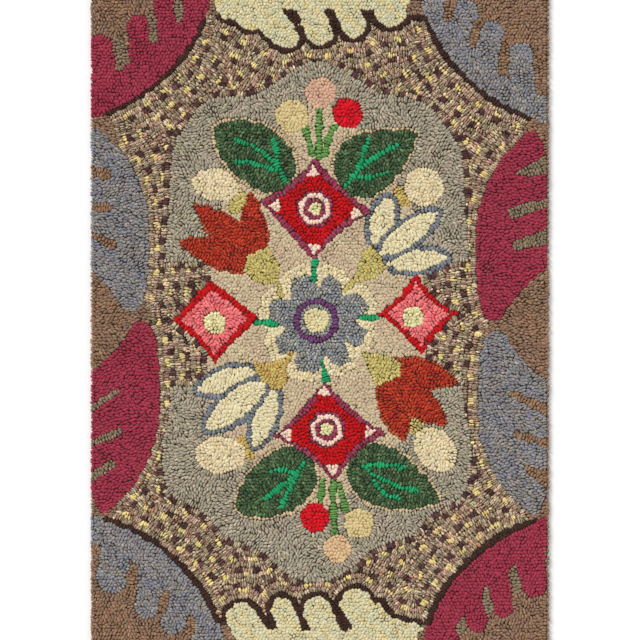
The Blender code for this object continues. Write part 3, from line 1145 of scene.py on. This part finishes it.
def make_foundation(owner, colours):
    """The burlap: its edges, the hem turned under, and the back with a stitch below each loop."""
    xs = np.linspace(LOW[0] + INSET, HIGH[0] - INSET, COLUMNS + 1)
    ys = np.linspace(LOW[1] + INSET, HIGH[1] - INSET, ROWS + 1)
    px, py = np.meshgrid(xs, ys)
    edge = np.minimum.reduce([px - xs[0], xs[-1] - px, py - ys[0], ys[-1] - py])
    back = np.stack([px, py, np.where(edge < HEM, 0.0, HEM_RISE)], axis=-1).reshape(-1, 3)
    grid = np.arange(px.size).reshape(px.shape)
    rim = np.concatenate([grid[0, :-1], grid[:-1, -1], grid[-1, :0:-1], grid[:0:-1, 0]])
    front = back[rim].copy()
    front[:, 2] = FOUNDATION
    top = px.size + np.arange(len(rim))
    cells = np.stack([grid[1:, :-1], grid[1:, 1:], grid[:-1, 1:], grid[:-1, :-1]], axis=-1)
    walls = np.stack([rim, np.roll(rim, -1), np.roll(top, -1), top], axis=-1)
    faces = cells.reshape(-1, 4).tolist() + walls.tolist() + [top.tolist()]
    mesh = bpy.data.meshes.new("foundation")
    mesh.from_pydata(np.vstack([back, front]).tolist(), [], faces)
    jute = np.array(BURLAP)
    under = at(owner, (px - LOW[0]) / MM, (py - LOW[1]) / MM)
    stitch = colours[np.maximum(under, 0), :3] * STITCH_WOOL + jute * (1 - STITCH_WOOL)
    shown = np.where((edge < HEM)[..., None], jute, stitch).reshape(-1, 3)
    rgba = np.ones((len(back) + len(front), 4))
    # The front, seen only in gaps under the loops, is painted shade; the edge walls darken up to it.
    rgba[:, :3] = np.vstack([shown, np.tile(jute * FRONT_PAINTED_SHADE, (len(front), 1))])
    paint_points(mesh, rgba)
    mesh.materials.append(burlap_material())
    return add_object("foundation", mesh)


# How far the ground's rows sway, in millimetres.
ROW_SWAY = 1.2


def make_loops():
    """Every piece of loops, and the loop's number at each cell and its colour for the rug's back."""
    rng = np.random.default_rng(SEED)
    draw_face()
    lean, broad, rim = lean_field()
    sway = ROW_SWAY * np.sin(X / 3.1 + 2 * np.sin(Y / 5.3))
    row = np.where(face == CODE["tweed"], (np.maximum(broad + sway, 0) / ROW).astype(int), 0)
    row[rim] = RIM_ROW
    region = face + len(AREAS) * row
    x, y = settle(rng, region, lean)
    turn, reach, owner = loop_outlines(x, y, region, lean)
    code = at(face, x, y)
    wools = tweed_dashes(rng, x, y, code, at(row, x, y))
    colours = loop_colours(rng, x, y, wools)
    full = np.array([a.full for a in AREAS])[code]
    points = loop_meshes(rng, x, y, turn, reach, full)
    piece_of = np.array([a.piece for a in AREAS], dtype=object)[code]
    pieces = []
    for name in sorted(set(piece_of)):
        mine = piece_of == name
        pieces.append(join_loops(name, points[mine], colours[mine]))
    return pieces, owner, colours


# Stage

# The floor's half width and the width that the camera shows of the rug's top, in metres.
FLOOR_REACH = 3.0
VIEW_WIDTH = 0.851
FLOOR_GREY = 0.93
SKY = 0.72
SUN = 2.0
SUN_SIZE, SUN_TILT, SUN_TURN = math.radians(24), math.radians(-38), math.radians(-36)


def make_floor():
    mesh = bpy.data.meshes.new("floor")
    quarters = [(-1, -1), (1, -1), (1, 1), (-1, 1)]
    corners = [(x * FLOOR_REACH, y * FLOOR_REACH, 0) for x, y in quarters]
    mesh.from_pydata(corners, [], [(0, 1, 2, 3)])
    paint, _, shader = new_material("floor")
    shader.inputs["Base Color"].default_value = (FLOOR_GREY, FLOOR_GREY, FLOOR_GREY, 1)
    shader.inputs["Roughness"].default_value = 0.9
    mesh.materials.append(paint)
    return add_object("floor", mesh)


def make_lights():
    """Soft light from all round, and a little more from one side."""
    world = bpy.data.worlds.new("studio")
    world.use_nodes = True
    sky = world.node_tree.nodes["Background"]
    sky.inputs["Color"].default_value = (1, 1, 1, 1)
    sky.inputs["Strength"].default_value = SKY
    bpy.context.scene.world = world
    light = bpy.data.lights.new("key", "SUN")
    light.energy = SUN
    light.angle = SUN_SIZE
    add_object("key", light).rotation_euler = (SUN_TILT, SUN_TURN, 0)


def make_camera():
    """A long lens straight above the rug's middle."""
    camera = bpy.data.cameras.new("camera")
    camera.lens = 100
    camera.sensor_width = 36
    eye = add_object("camera", camera)
    eye.location = (0, 0, TOP + VIEW_WIDTH * camera.lens / camera.sensor_width)
    bpy.context.scene.camera = eye
    bpy.context.scene.view_settings.view_transform = "Standard"


loops, owner, loop_colour = make_loops()
foundation = make_foundation(owner, loop_colour)
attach(foundation, "root")
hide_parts("hooked_rug")
for piece in loops:
    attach(piece, "root")
make_floor()
make_lights()
make_camera()
